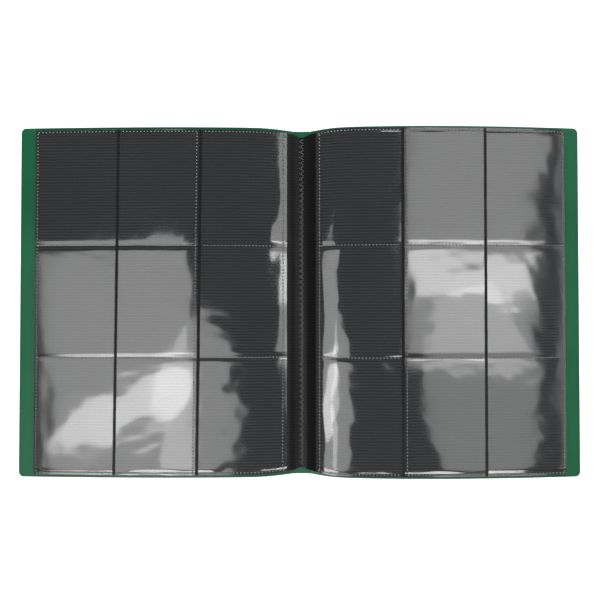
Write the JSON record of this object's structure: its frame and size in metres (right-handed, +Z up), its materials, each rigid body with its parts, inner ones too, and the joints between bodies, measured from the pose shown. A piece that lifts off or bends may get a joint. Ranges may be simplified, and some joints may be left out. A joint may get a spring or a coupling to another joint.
{
  "type": "pocket album",
  "caption": "Card and stamp album lying open: a thin folded plastic cover with black leaves welded at the spine and clear side-loading film pockets on both faces.",
  "frame": {"origin": "on the table, under the middle of the spine", "axes": "+X to the reader's right across the open album, +Y up the page along the spine, +Z up from the table"},
  "size_m": [0.479, 0.296, 0.0066],
  "materials": {
    "cover": "satin, finely grained polypropylene",
    "sheet": "matt, finely ribbed black polypropylene",
    "film": "clear, glossy, slightly wavy polypropylene film"
  },
  "bodies": {
    "spine": {"spine_panel": "cover", "binding_weld_bar": "sheet", "left_leaf_1_margin": "sheet", "left_leaf_2_margin": "sheet", "left_leaf_3_margin": "sheet", "right_leaf_1_margin": "sheet", "right_leaf_2_margin": "sheet", "right_leaf_3_margin": "sheet", "right_leaf_4_margin": "sheet"},
    "front_cover": {"front_cover": "cover"},
    "back_cover": {"back_cover": "cover"},
    "left_leaf_1": {"left_leaf_1_sheet": "sheet", "left_leaf_1_upper_inner_film": "film", "left_leaf_1_upper_middle_film": "film", "left_leaf_1_upper_outer_film": "film", "left_leaf_1_lower_inner_film": "film", "left_leaf_1_lower_middle_film": "film", "left_leaf_1_lower_outer_film": "film"},
    "left_leaf_2": {"left_leaf_2_sheet": "sheet", "left_leaf_2_upper_inner_film": "film", "left_leaf_2_upper_middle_film": "film", "left_leaf_2_upper_outer_film": "film", "left_leaf_2_lower_inner_film": "film", "left_leaf_2_lower_middle_film": "film", "left_leaf_2_lower_outer_film": "film"},
    "left_leaf_3": {"left_leaf_3_sheet": "sheet", "left_leaf_3_upper_inner_film": "film", "left_leaf_3_upper_middle_film": "film", "left_leaf_3_upper_outer_film": "film", "left_leaf_3_lower_inner_film": "film", "left_leaf_3_lower_middle_film": "film", "left_leaf_3_lower_outer_film": "film"},
    "right_leaf_1": {"right_leaf_1_sheet": "sheet", "right_leaf_1_upper_inner_film": "film", "right_leaf_1_upper_middle_film": "film", "right_leaf_1_upper_outer_film": "film", "right_leaf_1_lower_inner_film": "film", "right_leaf_1_lower_middle_film": "film", "right_leaf_1_lower_outer_film": "film"},
    "right_leaf_2": {"right_leaf_2_sheet": "sheet", "right_leaf_2_upper_inner_film": "film", "right_leaf_2_upper_middle_film": "film", "right_leaf_2_upper_outer_film": "film", "right_leaf_2_lower_inner_film": "film", "right_leaf_2_lower_middle_film": "film", "right_leaf_2_lower_outer_film": "film"},
    "right_leaf_3": {"right_leaf_3_sheet": "sheet", "right_leaf_3_upper_inner_film": "film", "right_leaf_3_upper_middle_film": "film", "right_leaf_3_upper_outer_film": "film", "right_leaf_3_lower_inner_film": "film", "right_leaf_3_lower_middle_film": "film", "right_leaf_3_lower_outer_film": "film"},
    "right_leaf_4": {"right_leaf_4_sheet": "sheet", "right_leaf_4_upper_inner_film": "film", "right_leaf_4_upper_middle_film": "film", "right_leaf_4_upper_outer_film": "film", "right_leaf_4_lower_inner_film": "film", "right_leaf_4_lower_middle_film": "film", "right_leaf_4_lower_outer_film": "film"}
  },
  "joints": [
    {"name": "back_cover_fold", "type": "hinge", "parent": "spine", "child": "back_cover", "pos_m": [0.0075, 0, 0.00045], "axis": [0, -1, 0], "range_deg": [0, 90], "deforming": ["right_leaf_1_margin", "right_leaf_2_margin", "right_leaf_3_margin", "right_leaf_4_margin"]},
    {"name": "front_cover_fold", "type": "hinge", "parent": "spine", "child": "front_cover", "pos_m": [-0.0075, 0, 0.00045], "axis": [0, 1, 0], "range_deg": [0, 90]},
    {"name": "left_leaf_1_fold", "type": "hinge", "parent": "spine", "child": "left_leaf_1", "pos_m": [-0.00495, 0, 0.003], "axis": [0, 1, 0], "range_deg": [0, 90], "deforming": ["left_leaf_1_margin"]},
    {"name": "left_leaf_2_fold", "type": "hinge", "parent": "spine", "child": "left_leaf_2", "pos_m": [-0.00495, 0, 0.003], "axis": [0, 1, 0], "range_deg": [0, 90], "deforming": ["left_leaf_2_margin"]},
    {"name": "left_leaf_3_fold", "type": "hinge", "parent": "spine", "child": "left_leaf_3", "pos_m": [-0.00495, 0, 0.003], "axis": [0, 1, 0], "range_deg": [0, 90], "deforming": ["left_leaf_3_margin"]},
    {"name": "right_leaf_1_turn", "type": "hinge", "parent": "back_cover", "child": "right_leaf_1", "pos_m": [0.01065, 0, 0.00175], "axis": [0, 1, 0], "range_deg": [-15, 0]},
    {"name": "right_leaf_2_turn", "type": "hinge", "parent": "right_leaf_1", "child": "right_leaf_2", "pos_m": [0.01065, 0, 0.00319], "axis": [0, 1, 0], "range_deg": [-20, 0]},
    {"name": "right_leaf_3_turn", "type": "hinge", "parent": "right_leaf_2", "child": "right_leaf_3", "pos_m": [0.01065, 0, 0.00464], "axis": [0, 1, 0], "range_deg": [-30, 0]},
    {"name": "right_leaf_4_turn", "type": "hinge", "parent": "right_leaf_3", "child": "right_leaf_4", "pos_m": [0.01065, 0, 0.00609], "axis": [0, 1, 0], "range_deg": [-90, 0]}
  ],
  "couplings": [
    {"joint": "front_cover_fold", "follows": "back_cover_fold", "ratio": 1},
    {"joint": "left_leaf_1_fold", "follows": "back_cover_fold", "ratio": 1},
    {"joint": "left_leaf_2_fold", "follows": "back_cover_fold", "ratio": 1},
    {"joint": "left_leaf_3_fold", "follows": "back_cover_fold", "ratio": 1}
  ]
}
